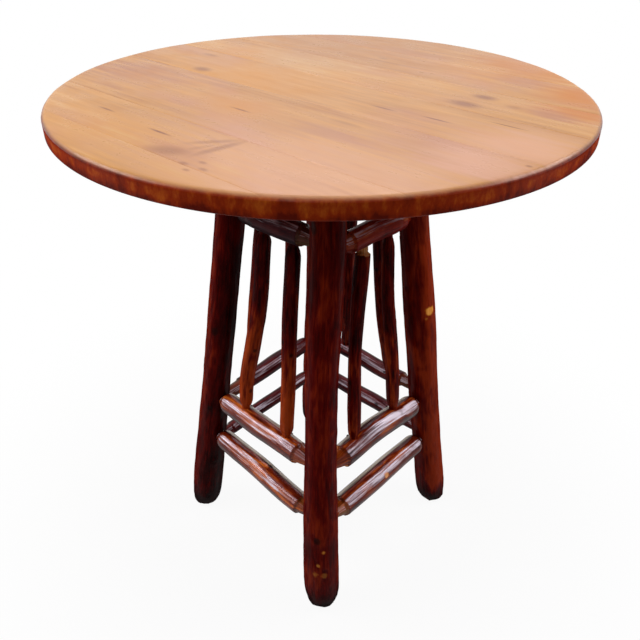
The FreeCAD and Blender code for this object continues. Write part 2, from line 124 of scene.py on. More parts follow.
class PoleShape:
    """Where a CAD pole's centre runs and how thick it is, read off its own surface."""

    def __init__(self, node, level):
        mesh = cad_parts[node].data
        points = np.array([v.co for v in mesh.vertices])
        faces = [tuple(p.vertices) for p in mesh.polygons]
        self.tree = BVHTree.FromPolygons([Vector(p) for p in points], faces)
        if level:
            low, high = points[:, 2].min(), points[:, 2].max()
            self.start = self.middle_at(points, Vector((0, 0, 1)), low)
            self.start.z = low
            self.along = Vector((0, 0, 1))
            self.length = high - low
            self.side = Vector((1, 0, 0))
        else:
            spread = points - points.mean(0)
            axis = Vector(np.linalg.svd(spread, full_matrices=False)[2][0])
            for _ in range(2):
                reach = points @ np.array(axis)
                ends = [self.middle_at(points, axis, edge) for edge in (reach.min(), reach.max())]
                axis = (ends[1] - ends[0]).normalized()
            if axis.z > UPRIGHT or (abs(axis.z) < UPRIGHT and ends[0].y > ends[1].y):
                ends.reverse()
            self.start = ends[0]
            self.along = (ends[1] - ends[0]).normalized()
            self.length = (ends[1] - ends[0]).length
            self.side = self.along.cross(Vector((0, 0, 1)))
            if abs(self.along.z) > UPRIGHT:
                self.side = Vector((0, 1, 0)).cross(self.along)
            self.side.normalize()
        self.up = self.side.cross(self.along)

    @staticmethod
    def middle_at(points, axis, edge):
        """The centre of the mesh's ring of vertices at one end."""
        reach = points @ np.array(axis)
        ring = points[np.abs(reach - edge) < RING_SLACK]
        return Vector((ring.min(0) + ring.max(0)) / 2)

    def ring(self, distance, centre):
        """The surface's places in the cross-section's plane, seen from outside all round."""
        found = []
        for number in range(RAYS):
            angle = math.tau * number / RAYS
            out = self.side * math.cos(angle) + self.up * math.sin(angle)
            middle = self.start + self.along * distance + self.side * centre[0] + self.up * centre[1]
            hit = self.tree.ray_cast(middle + out * RAY_REACH, -out, RAY_REACH)[0]
            if hit is not None:
                offset = hit - self.start - self.along * distance
                found.append((offset.dot(self.side), offset.dot(self.up)))
        return np.array(found)

    def read(self, distances):
        """Centres and radii, each from a circle through the ring's points, with bored holes left out."""
        centre = np.zeros(2)
        centres, radii = [], []
        for distance in distances:
            found = self.ring(min(max(distance, 2e-5), self.length - 2e-5), centre)
            if len(found) < FEWEST_HITS:
                centres.append(centres[-1] if centres else centre)
                radii.append(radii[-1] if radii else 0.01)
                continue
            keep = np.ones(len(found), bool)
            for _ in range(4):
                sums = np.column_stack([2 * found[keep], np.ones(keep.sum())])
                fit = np.linalg.lstsq(sums, (found[keep] ** 2).sum(1), rcond=None)[0]
                radius = math.sqrt(max(fit[2] + fit[0] ** 2 + fit[1] ** 2, 1e-8))
                off = np.hypot(*(found - fit[:2]).T) - radius
                limit = max(np.median(np.abs(off - np.median(off))) * 4, 1.5e-4)
                keep = np.abs(off - np.median(off)) < limit
            centre = fit[:2]
            centres.append(centre)
            radii.append(radius)
        return np.array(centres), np.array(radii)


def nail_heads(node):
    """The middle of each nail's head: the solid's end with the widest ring."""
    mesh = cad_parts[node].data
    points = np.array([v.co for v in mesh.vertices])
    link = list(range(len(points)))

    def root(n):
        while link[n] != n:
            link[n] = link[link[n]]
            n = link[n]
        return n

    seen = {}
    for n, p in enumerate(points):
        key = tuple(np.round(p, 6))
        if key in seen:
            link[root(n)] = root(seen[key])
        seen[key] = n
    for polygon in mesh.polygons:
        first = polygon.vertices[0]
        for other in polygon.vertices[1:]:
            link[root(first)] = root(other)
    groups = {}
    for n in range(len(points)):
        groups.setdefault(root(n), []).append(n)
    heads = []
    for members in groups.values():
        cloud = points[members]
        axis = np.linalg.svd(cloud - cloud.mean(0), full_matrices=False)[2][0]
        reach = cloud @ axis
        wide = []
        for edge in (reach.min(), reach.max()):
            ring = cloud[np.abs(reach - edge) < RING_SLACK]
            wide.append((np.ptp(ring, axis=0).max(), ring.mean(0)))
        heads.append(max(wide, key=lambda pair: pair[0])[1])
    return np.array(heads)


HEADS = np.concatenate([nail_heads("rail_nails"), nail_heads("spindle_nails")])


# A pole's surface: the heights of its lumps and ridges in metres, its knots, the number of knife cuts at each
# end, the bark's thickness and how ragged the cuts end
Bark = namedtuple("Bark", "seed lumps ridges ridge_count knots facets thickness ragged", defaults=(0.0055,))


def knife_cut(angles, depth_in, radius, seed, count, ragged):
    """Radius left by a ring of knife cuts, where a cone of that radius would be, all round a pole's end."""
    random = np.random.default_rng(seed)
    places = (np.arange(count) + random.uniform(-0.32, 0.32, count)) * math.tau / count
    slips = random.uniform(-ragged, ragged, count)
    left = np.full(np.broadcast(angles, depth_in).shape, 1.0)
    which = np.zeros(left.shape, int)
    for number, (place, slip) in enumerate(zip(places, slips)):
        turn = np.cos(angles - place)
        reach = radius(depth_in + slip) * (1 + 0.012 * math.cos(number * 2.4))
        plane = np.where(turn > 0.3, reach / np.maximum(turn, 0.3), 1.0)
        which = np.where(plane < left, number, which)
        left = np.minimum(left, plane)
    return left, which


def new_object(name, data):
    made = bpy.data.objects.new(name, data)
    bpy.context.scene.collection.objects.link(made)
    return made


def make_object(name, mesh, materials, extras):
    """The piece made of a mesh, with its attributes, materials and body."""
    for label, (kind, values) in extras.items():
        attribute = mesh.attributes.new(label, kind, "POINT")
        field = "vector" if kind == "FLOAT_VECTOR" else "value"
        attribute.data.foreach_set(field, np.asarray(values, float).ravel())
    mesh.polygons.foreach_set("use_smooth", [True] * len(mesh.polygons))
    piece = new_object(name, mesh)
    for material in materials:
        mesh.materials.append(material)
    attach(piece, "root")
    return piece


def shouldered(radii, reach, share, neck_share):
    """The radii with each long taper made crisp.

    The start gets a whittled neck and a shoulder, and the far end is rounded.
    """
    for rounded in (False, True):
        start = np.argmax(radii > radii[3] * PAST_TENON)
        end = np.argmax(radii > np.percentile(radii, 70) * UNCUT)
        if rounded:
            inset = np.clip((reach[start] + ROUND_END - reach) / ROUND_END, 0, 1)
            cut = radii[start] + (radii[end] - radii[start]) * np.sqrt(1 - inset**2)
        else:
            step = reach[start] + (reach[end] - reach[start]) * share
            neck = [radii[start], neck_share * radii[end], radii[end]]
            cut = np.interp(reach, [reach[start], step, step + SHOULDER_LENGTH], neck)
        radii = np.where((reach > reach[start]) & (reach < reach[end]), cut, radii)[::-1]
    return radii


def wrapped(angles, depth, radius=1.0):
    """Places on a straight pole of that radius, as an array for its angles and depths."""
    return np.stack(np.broadcast_arrays(radius * np.cos(angles), radius * np.sin(angles), depth), axis=-1)


def tube_mesh(name, points, caps):
    """A closed tube through rings of points, with a point in the middle of each end."""
    rows, columns = points.shape[:2]
    faces = []
    for row in range(rows - 1):
        for column in range(columns):
            a = row * columns + column
            b = row * columns + (column + 1) % columns
            faces.append((a, b, b + columns, a + columns))
    low, high = rows * columns, rows * columns + 1
    for column in range(columns):
        a, b = column, (column + 1) % columns
        faces.append((low, b, a))
        faces.append((high, a + (rows - 1) * columns, b + (rows - 1) * columns))
    mesh = bpy.data.meshes.new(name)
    mesh.from_pydata([tuple(p) for p in np.concatenate([points.reshape(-1, 3), caps])], [], faces)
    mesh.update()
    return mesh


def pole(node, bark, material, around, step, tones, level=False, neck=None, spots=()):
    """A natural pole in place of a CAD pole, with knife-cut ends, bark, knots and dents at its nails."""
    shape = PoleShape(node, level)
    count = int(round(shape.length / step))
    reach = np.linspace(0, shape.length, count + 1)
    centres, radii = shape.read(reach)
    if neck:
        radii = shouldered(radii, reach, *neck)
    step = reach[1]
    full = np.percentile(radii, 70)
    inside = np.nonzero(radii > full * (UNCUT_LEG if level else UNCUT))[0]
    first, last = inside[0], inside[-1]
    if not level:
        while radii[first + 1] - radii[first] > TAPERED * step:
            first += 1
        while radii[last - 1] - radii[last] > TAPERED * step:
            last -= 1
    # The uncut body runs on past both cuts, and is softened where the CAD has straight lofts.
    body = radii.copy()
    body[:first] = radii[first]
    body[last + 1 :] = radii[last]
    body = smoothed(body, SOFTENED / step)
    ends = ramp(np.minimum(reach, shape.length - reach), 0.0, 0.05)[:, None]
    runs = centres * (1 - ends) + smoothed(centres, SOFTENED / step) * ends
    # Bark: lumps, ridges that wander round the pole, and grooves between them
    angles = np.linspace(0, math.tau, around, endpoint=False)[None, :]
    depth = reach[:, None]
    wrap = wrapped(angles, depth)
    rough = layered(wrap * (1.5, 1.5, 16) + bark.seed, bark.seed, 3) * bark.lumps
    swirl = noise(wrap * (2.2, 2.2, 9) + 5, bark.seed + 3) * 0.35
    turned = wrapped(angles + swirl, depth)
    crowd = bark.ridge_count / 5
    ridged = 1 - np.abs(layered(turned * (crowd, crowd, 14) + 17, bark.seed + 7, 2)) * 1.6
    grooves = layered(turned * (crowd * 1.7, crowd * 1.7, 30) + 29, bark.seed + 11, 2)
    rough = rough + ridged * bark.ridges - ramp(grooves, 0.35, 0.9) * bark.ridges * 1.3
    radius = body[:, None] + rough
    knot_mark = np.zeros(radius.shape)
    for place, angle, size, height in bark.knots:
        turn = (angles - angle + math.pi) % math.tau - math.pi
        away = np.hypot((depth - place * shape.length) / 1.25, turn * full)
        radius += height * (np.exp(-((away / size) ** 2)) - 0.75 * np.exp(-((away / (0.42 * size)) ** 2)))
        knot_mark = np.maximum(knot_mark, 1 - ramp(away, 0.35 * size, 0.8 * size))
    bare = np.zeros(radius.shape)
    facet_tone = np.zeros(radius.shape)
    for end, facets in enumerate(bark.facets):
        if not facets:
            continue
        depth_in = depth if end == 0 else shape.length - depth
        own = radii if end == 0 else radii[::-1]
        shoulder = reach[first] if end == 0 else shape.length - reach[last]
        rise = own[int(shoulder / step)] - own[int(shoulder / step) - 4]
        slope = max(rise / (4 * step), 1.0 if neck else 0.12)

        def cone(inward, own=own, shoulder=shoulder, slope=slope):
            base = np.interp(np.minimum(inward, shoulder), reach, own)
            return base + np.maximum(inward - shoulder, 0) * slope

        cut, which = knife_cut(angles, depth_in, cone, bark.seed + 50 * end, facets, bark.ragged)
        cut = cut - bark.thickness + 0.0002 * noise(wrap * (9, 9, 120), bark.seed + 5)
        cut = np.maximum(cut, cone(depth_in) * 0.86)
        near = depth_in < shoulder + 0.02
        is_cut = near & (cut < radius)
        soft = np.clip((radius - cut) / 0.0008, 0, 1) * near
        radius = np.where(is_cut, cut, radius)
        bare = np.maximum(bare, soft * tones[end])
        facet_tone = np.where(is_cut, np.sin(which * 12.9898 + bark.seed) * 0.5 + 0.5, facet_tone)
    if neck:
        beyond = depth > reach[last] - ROUND_END
        radius = np.where(beyond, np.minimum(radius, radii[:, None] + 0.4 * rough), radius)
    # Tenons, the parts inside other pieces, keep the CAD's own size.
    tenon = np.zeros(len(reach))
    if not level:
        tenon[: np.argmax(radii > radii[3] * PAST_TENON)] = 1
        tenon[len(radii) - np.argmax(radii[::-1] > radii[-4] * PAST_TENON) :] = 1
    else:
        tenon[last + 1 :] = 1
    radius = np.where(tenon[:, None] > 0, radii[:, None], radius)
    centres = np.where(tenon[:, None] > 0, centres, runs)
    side, up, along = (np.array(v) for v in (shape.side, shape.up, shape.along))
    start = np.array(shape.start)
    middle = start + reach[:, None] * along + centres[:, :1] * side + centres[:, 1:] * up
    out = np.cos(angles)[..., None] * side + np.sin(angles)[..., None] * up
    points = middle[:, None] + radius[..., None] * out
    for head in HEADS:
        offset = head - start
        if not -0.01 < offset @ along < shape.length + 0.01:
            continue
        away = np.linalg.norm(points - head, axis=-1)
        if away.min() > NAIL_NEAR:
            continue
        level_radius = np.linalg.norm((head - middle) - ((head - middle) @ along)[:, None] * along, axis=-1)
        nearest = np.argmin(np.linalg.norm(middle - head, axis=-1))
        dish = 1 - ramp(away - away.min(), *DIMPLE)
        bottom = np.maximum(np.minimum(radius, level_radius[nearest] - 0.0002), radius - DIMPLE_DEPTH)
        radius = radius * (1 - dish) + bottom * dish
        knot_mark = np.maximum(knot_mark, 1 - ramp(away - away.min(), *NAIL_RING))
        points = middle[:, None] + radius[..., None] * out
    for place, size, tone in spots:
        away = np.linalg.norm(points - np.array(place), axis=-1)
        away = away * (1 + 0.35 * noise(points * 160, bark.seed))
        chipped = 1 - ramp(away, 0.55 * size, size)
        bare = np.maximum(bare, tone * chipped)
        facet_tone = np.maximum(facet_tone, chipped)
    if level:
        points[0, :, 2] = 0
        points[..., 2] = np.maximum(points[..., 2], 0)
    # Where the grain runs: the pole laid straight, at a place of its own
    grain = wrapped(angles, depth, full).reshape(-1, 3) + bark.seed * np.array([0.37, 0.71, 0.13])

    def capped(values):
        return np.concatenate([values.reshape(-1), values.reshape(-1)[[0, -1]]])

    extras = {
        "grain": ("FLOAT_VECTOR", np.concatenate([grain, grain[:1], grain[-1:]])),
        "bare": ("FLOAT", capped(bare)),
        "facet": ("FLOAT", capped(facet_tone)),
        "knot": ("FLOAT", capped(knot_mark)),
        "raised": ("FLOAT", capped(ramp(rough, -bark.ridges, bark.ridges * 1.6))),
        "along": ("FLOAT", capped(np.broadcast_to(depth / shape.length, radius.shape))),
    }
    mesh = tube_mesh(f"{node}_pole", points, [middle[0], middle[-1]])
    piece = make_object(f"{node}_pole", mesh, [material], extras)
    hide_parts(node)


TOP_LOW, TOP_HIGH = (np.array(corners) for corners in zip(*(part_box(f"top_board_{n}") for n in TOP_NUMBERS)))
TOP_RADIUS = float(np.abs(np.concatenate([TOP_LOW[:, :2], TOP_HIGH[:, :2]])).max())
TOP_UNDER, TOP_FACE = float(TOP_LOW[:, 2].min()), float(TOP_HIGH[:, 2].max())
WORN_WIDE, WORN_DEEP = 0.0085, 0.0075
UNDER_ROUND = 0.0025
# Where a board is cut beside its seam, in metres, so that the seam can be softened
SEAM_CUTS = (0, 0.0006, 0.0016, 0.004)
ACROSS = np.array((math.sin(-GRAIN_TURN), math.cos(GRAIN_TURN), 0))
AROUND_TOP = 480


def disc_mesh():
    """The whole round top: flat rings, a worn edge, the rim, a small lower round and the underside."""
    rings = [(radius, TOP_FACE) for radius in np.arange(0.012, TOP_RADIUS - WORN_WIDE - 0.004, 0.011)]
    for turn in np.linspace(0, math.pi / 2, 9):
        inset = WORN_WIDE * (1 - math.sin(turn))
        rings.append((TOP_RADIUS - inset, TOP_FACE - WORN_DEEP * (1 - math.cos(turn))))
    for height in np.linspace(TOP_FACE - WORN_DEEP, TOP_UNDER + UNDER_ROUND, 7)[1:]:
        rings.append((TOP_RADIUS, height))
    for turn in np.linspace(0, math.pi / 2, 5)[1:]:
        inset = UNDER_ROUND * (1 - math.cos(turn))
        rings.append((TOP_RADIUS - inset, TOP_UNDER + UNDER_ROUND * (1 - math.sin(turn))))
    rings += [(radius, TOP_UNDER) for radius in np.arange(TOP_RADIUS - 0.02, 0.02, -0.03)]
    angles = np.linspace(0, math.tau, AROUND_TOP, endpoint=False)
    points = [(0, 0, TOP_FACE), (0, 0, TOP_UNDER)]
    for radius, height in rings:
        points += [(radius * math.cos(a), radius * math.sin(a), height) for a in angles]
    faces = []
    for column in range(AROUND_TOP):
        a, b = 2 + column, 2 + (column + 1) % AROUND_TOP
        faces.append((0, a, b))
        for _ in rings[1:]:
            faces.append((a, a + AROUND_TOP, b + AROUND_TOP, b))
            a, b = a + AROUND_TOP, b + AROUND_TOP
        faces.append((a, 1, b))
    mesh = bpy.data.meshes.new("whole_top")
    mesh.from_pydata(points, [], faces)
    return mesh


def wear_board(points, low, high, seed):
    """The points of a board's surface after years of use: a crown, soft seams and an uneven worn edge."""
    gap = np.minimum(points @ ACROSS - low, high - points @ ACROSS)
    upper = ramp(points[:, 2], TOP_FACE - WORN_DEEP, TOP_FACE)
    middle = (points @ ACROSS - (low + high) / 2) / ((high - low) / 2)
    drop = 0.00028 * np.exp(-((gap / 0.0007) ** 2)) + 0.00022 * np.clip(middle, -1, 1) ** 2
    drop += 0.00008 * (1 + noise(points * 9, seed))
    reach = np.hypot(points[:, 0], points[:, 1])
    outward = points * (1, 1, 0) / np.maximum(reach, 1e-6)[:, None]
    rim = ramp(reach, TOP_RADIUS - WORN_WIDE - 0.002, TOP_RADIUS - 0.3 * WORN_WIDE)
    lower = ramp(points[:, 2], TOP_UNDER, TOP_FACE - WORN_DEEP)
    worn = rim * lower * (0.00035 * (1 + noise(points * 26, seed + 4)) + 0.0002 * (1 + noise(points * 90, 9)))
    moved = points - outward * worn[:, None]
    moved[:, 2] -= upper * (drop + 0.6 * worn)
    return moved


def board_piece(number, whole, materials):
    """One board, sawn out of the round top along its seams."""
    node = f"top_board_{number}"
    corners = np.array([v.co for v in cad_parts[node].data.vertices]) @ ACROSS
    low, high = corners.min(), corners.max()
    solid = bmesh.new()
    solid.from_mesh(whole)
    for edge, way in ((low, 1), (high, -1)):
        if abs(edge) > TOP_RADIUS - 0.001:
            continue
        for inset in SEAM_CUTS:
            every = solid.verts[:] + solid.edges[:] + solid.faces[:]
            place, normal = ACROSS * (edge + way * inset), ACROSS * way
            bmesh.ops.bisect_plane(
                solid, geom=every, dist=1e-7, plane_co=place, plane_no=normal, clear_inner=inset == 0)
            if inset == 0:
                rim = [e for e in solid.edges if e.is_boundary]
                bmesh.ops.holes_fill(solid, edges=rim, sides=0)
    points = np.array([v.co for v in solid.verts])
    share = np.arccos(np.clip(1 - (TOP_FACE - points[:, 2]) / WORN_DEEP, 0, 1)) / (math.pi / 2)
    for vertex, place in zip(solid.verts, wear_board(points, low, high, number)):
        vertex.co = place
    solid.normal_update()
    for face in solid.faces:
        face.material_index = 0 if face.normal.z > 0.25 else 2 if face.normal.z < -0.6 else 1
    mesh = bpy.data.meshes.new(f"{node}_worn")
    solid.to_mesh(mesh)
    solid.free()
    piece = make_object(f"{node}_worn", mesh, materials, {"edge": ("FLOAT", share)})
    mesh.set_sharp_from_angle(angle=math.radians(40))
    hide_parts(node)


class Shader:
    """A node material with short ways to add and join nodes."""

    def __init__(self, name):
        self.material = bpy.data.materials.new(name)
        self.material.use_nodes = True
        self.tree = self.material.node_tree
        self.surface = self.tree.nodes["Principled BSDF"]

    def node(self, kind, **settings):
        made = self.tree.nodes.new(kind)
        for key, value in settings.items():
            setattr(made, key, value)
        return made

    def put(self, made, **inputs):
        for key, value in inputs.items():
            socket = made.inputs[int(key[1:])] if key[0] == "i" and key[1:].isdigit() else made.inputs[key]
            if hasattr(value, "is_output"):
                self.tree.links.new(value, socket)
            else:
                socket.default_value = value
        return made

    def place(self):
        """The place on the piece, in metres."""
        return self.node("ShaderNodeTexCoord").outputs["Object"]

    def attribute(self, name, vector=False):
        made = self.node("ShaderNodeAttribute", attribute_name=name)
        return made.outputs["Vector" if vector else "Fac"]

    def mapped(self, vector, scale, turn=0.0, shift=(0, 0, 0)):
        made = self.node("ShaderNodeMapping")
        self.put(made, Vector=vector, Scale=scale, Rotation=(0, 0, turn), Location=shift)
        return made.outputs["Vector"]

    def parts(self, vector):
        """A vector's outputs "X", "Y" and "Z"."""
        return self.put(self.node("ShaderNodeSeparateXYZ"), Vector=vector).outputs

    def dot(self, first, second):
        made = self.node("ShaderNodeVectorMath", operation="DOT_PRODUCT")
        return self.put(made, i0=first, i1=second).outputs["Value"]

    def length(self, vector):
        made = self.node("ShaderNodeVectorMath", operation="LENGTH")
        return self.put(made, i0=vector).outputs["Value"]

    def away(self, flat, x, y, long, wide):
        """How far a flat place is from (x, y), as a share of an oval's half length and half width."""
        return self.length(self.mapped(flat, (1 / long, 1 / wide, 0), 0, (-x / long, -y / wide, 0)))

    def noise(self, vector, scale, detail=4.0, roughness=0.55, distortion=0.0):
        made = self.node("ShaderNodeTexNoise")
        self.put(made, Vector=vector, Scale=scale, Detail=detail, Roughness=roughness, Distortion=distortion)
        return made.outputs["Fac"]

    def stretched(self, vector, scales, *settings):
        """Noise on a vector that is scaled along X, Y and Z."""
        return self.noise(self.mapped(vector, scales), *settings)

    def maths(self, operation, first, second=0.0, third=0.0):
        made = self.node("ShaderNodeMath", operation=operation)
        self.put(made, i0=first, i1=second, i2=third)
        return made.outputs[0]

    def scaled(self, value, factor, rest):
        return self.maths("MULTIPLY_ADD", value, factor, rest)

    def times(self, first, second):
        return self.maths("MULTIPLY", first, second)

    def plus(self, first, second):
        return self.maths("ADD", first, second)

    def varied(self, base, layer, share):
        """A value moved up and down by a share of a noise."""
        return self.scaled(self.maths("SUBTRACT", layer, 0.5), share, base)

    def between(self, value, low, high, to_low=0.0, to_high=1.0):
        made = self.node("ShaderNodeMapRange", interpolation_type="SMOOTHSTEP")
        self.put(made, Value=value, i1=low, i2=high, i3=to_low, i4=to_high)
        return made.outputs[0]

    def duller_aslant(self, rough, most):
        """A roughness that rises where it is seen aslant, so dark wood doesn't mirror the white room."""
        aslant = self.node("ShaderNodeLayerWeight").outputs["Facing"]
        return self.plus(rough, self.between(aslant, 0.35, 0.8, 0.0, most))

    def ramp(self, value, stops):
        made = self.node("ShaderNodeValToRGB")
        self.put(made, Fac=value)
        elements = made.color_ramp.elements
        while len(elements) < len(stops):
            elements.new(0.5)
        for element, (place, colour) in zip(elements, stops):
            element.position = place
            element.color = (*linear(colour), 1)
        return made.outputs["Color"]

    def mix(self, share, first, second):
        made = self.node("ShaderNodeMix", data_type="RGBA", clamp_result=True)
        first, second = ((*linear(v), 1) if isinstance(v, tuple) else v for v in (first, second))
        return self.put(made, i0=share, i6=first, i7=second).outputs[2]

    def bump(self, height, strength, distance):
        made = self.node("ShaderNodeBump")
        self.put(made, Height=height, Strength=strength, Distance=distance)
        return made.outputs["Normal"]

    def finish(self, **inputs):
        for key, value in inputs.items():
            self.put(self.surface, **{key.replace("_", " "): value})
        return self.material


def linear(colour):
    """An 0 to 255 screen colour as scene-linear values."""
    shares = [c / 255 for c in colour]
    return tuple(c / 12.92 if c <= 0.04045 else ((c + 0.055) / 1.055) ** 2.4 for c in shares)


def bark_material(
    name, tones, bare_tones, specular, tint, fade=(0.0, 1.0, 0.0, 0.0), gloss=(0.12, 0.26), relief=0.2,
    patchy=0.38, outward=None, worn=0.0, edge_highlight=0.0, painted_light=0.0, painted_flank_light=0.0,
):
    """Stained and varnished hickory bark, with bare wood where a knife has cut.

    A rail has a direction outward: a painted highlight lies on a band that faces outward and up, and another
    along its far upper edge, with painted shade where it faces down and in. A leg has painted light on its
    outer flank.
    """
    shade = Shader(name)
    outside = shade.node("ShaderNodeNewGeometry").outputs["Normal"]
    facing = shade.parts(outside)
    grain = shade.attribute("grain", True)
    bare = shade.attribute("bare")
    streaks = shade.stretched(grain, (1, 1, 0.09), 190, 5, 0.6, 0.6)
    patches = shade.stretched(grain, (1, 1, 0.4), 26, 3, 0.5)
    flecks = shade.stretched(grain, (1, 1, 0.35), 520, 2, 0.5)
    level = shade.varied(shade.scaled(streaks, 0.6, 0.2), patches, patchy)
    level = shade.scaled(shade.attribute("raised"), 0.16, level)
    level = shade.plus(level, shade.between(shade.attribute("along"), *fade))
    # Painted light: a leg is lighter on its outer flank
    if painted_flank_light:
        side = shade.times(shade.plus(facing["X"], 0.7), shade.parts(shade.place())["X"])
        painted_lighter = shade.maths("MINIMUM", shade.times(side, painted_flank_light), PAINTED_FLANK_MOST)
        level = shade.plus(level, painted_lighter)
    if outward:
        split = shade.stretched(grain, (1, 1, 0.045), 170, 4, 0.6, 0.4)
        to_highlight = shade.dot(outside, (HIGHLIGHT_OUT * outward[0], HIGHLIGHT_OUT * outward[1], HIGHLIGHT_UP))
        to_back = shade.dot(outside, (-outward[0], -outward[1], 0))
        lit = shade.varied(to_highlight, split, 0.2)
        # Painted shade and light: darker where the rail faces down and in, lighter towards the band that
        # faces outward and up
        level = shade.plus(level, shade.between(lit, 0.15, 0.97, -0.26, painted_light))
    colour = shade.ramp(level, tones)
    if outward:
        # Painted highlight: a pale lilac band that faces outward and up, broken along the grain, as strong as
        # worn says
        breaks = shade.stretched(grain, (1, 1, 0.5), 34, 3, 0.55)
        highlight_band = shade.between(lit, 0.92, 0.98)
        for layer, low, high, least in ((split, 0.42, 0.6, 0.05), (breaks, 0.38, 0.54, 0.45)):
            highlight_band = shade.times(highlight_band, shade.between(layer, low, high, least, 1.0))
        colour = shade.mix(shade.times(highlight_band, worn), colour, PAINTED_BAND_HIGHLIGHT)
        # Painted highlight along the far upper edge, where the surface faces up and away from the outward
        # side
        edge = shade.between(shade.varied(to_back, split, 0.5), 0.22, 0.5)
        edge_highlight_share = shade.times(edge, shade.between(facing["Z"], 0.5, 0.8, 0.0, edge_highlight))
        colour = shade.mix(edge_highlight_share, colour, PAINTED_EDGE_HIGHLIGHT)
    colour = shade.mix(shade.between(flecks, 0.62, 0.74, 0.0, 0.2), colour, tones[-1][1])
    colour = shade.mix(shade.times(shade.attribute("knot"), 0.75), colour, KNOT)
    rings = shade.stretched(grain, (1, 1, 0.05), 420, 4, 0.55, 0.4)
    cut_level = shade.scaled(rings, 0.7, -0.08)
    cut_level = shade.scaled(shade.attribute("facet"), 0.45, cut_level)
    colour = shade.mix(bare, colour, shade.ramp(cut_level, bare_tones))
    sheen = shade.stretched(grain, (1, 1, 0.3), 70, 4, 0.6)
    rough = shade.scaled(bare, 0.12, shade.between(sheen, 0.3, 0.75, *gloss))
    if outward:
        rough = shade.plus(rough, shade.between(facing["Z"], 0.1, -0.4, 0.0, 0.45))
    else:
        rough = shade.duller_aslant(rough, 0.6)
    height = shade.plus(streaks, shade.times(flecks, 0.35))
    return shade.finish(
        Base_Color=colour, Roughness=rough, Normal=shade.bump(height, relief, 0.0006), IOR=1.5,
        Specular_IOR_Level=specular, Specular_Tint=(*tint, 1),
    )


def iron_material(name, colours, roughness, metallic):
    shade = Shader(name)
    place = shade.place()
    grime = shade.noise(place, 900, 4, 0.6)
    colour = shade.ramp(grime, colours)
    rough = shade.between(grime, 0.3, 0.7, roughness - 0.1, roughness + 0.12)
    normal = shade.bump(shade.noise(place, 2600, 3), 0.3, 0.0002)
    return shade.finish(Base_Color=colour, Roughness=rough, Normal=normal, Metallic=metallic)


def rim_stain_and_shade(shade, place):
    """The colour of the rim: mottled, with soft upright patches, darker from taking more stain and from
    painted shade.
    """
    mottle = shade.stretched(place, (1, 1, 0.5), 34, 4, 0.6)
    patches = shade.stretched(place, (1, 1, 0.2), 95, 3, 0.55)
    specks = shade.stretched(place, (1, 1, 0.6), 260, 3, 0.6)
    level = shade.scaled(patches, 0.3, shade.scaled(mottle, 0.95, -0.12))
    level = shade.varied(level, specks, 0.25)
    parts = shade.parts(place)
    height = shade.varied(parts["Z"], mottle, 0.02)
    # Painted shade along the rim's lower edge
    level = shade.plus(level, shade.between(height, TOP_UNDER + 0.014, TOP_UNDER, 0.0, -0.22))
    sideways = shade.between(shade.maths("ABSOLUTE", parts["X"]), 0.12, 0.36, 0.0, -0.25)
    upper = shade.between(height, TOP_FACE - 0.011, TOP_FACE - 0.004)
    level = shade.scaled(sideways, upper, level)
    return shade.ramp(level, [(0.25, (92, 16, 3)), (0.5, (146, 44, 7)), (0.75, (194, 94, 26))])


def rim_material():
    shade = Shader("pine_rim")
    place = shade.place()
    pores = shade.stretched(place, (1, 1, 0.4), 620, 3, 0.55)
    rough = shade.duller_aslant(shade.between(pores, 0.3, 0.75, 0.3, 0.45), 0.5)
    return shade.finish(
        Base_Color=rim_stain_and_shade(shade, place), Roughness=rough, Normal=shade.bump(pores, 0.25, 0.0003),
        IOR=1.5, Specular_IOR_Level=0.06, Specular_Tint=(1, 0.6, 0.5, 1),
    )


def along_across(x, y, angle):
    """How far a place lies along a direction on the top, and across it."""
    return x * math.cos(angle) + y * math.sin(angle), y * math.cos(angle) - x * math.sin(angle)


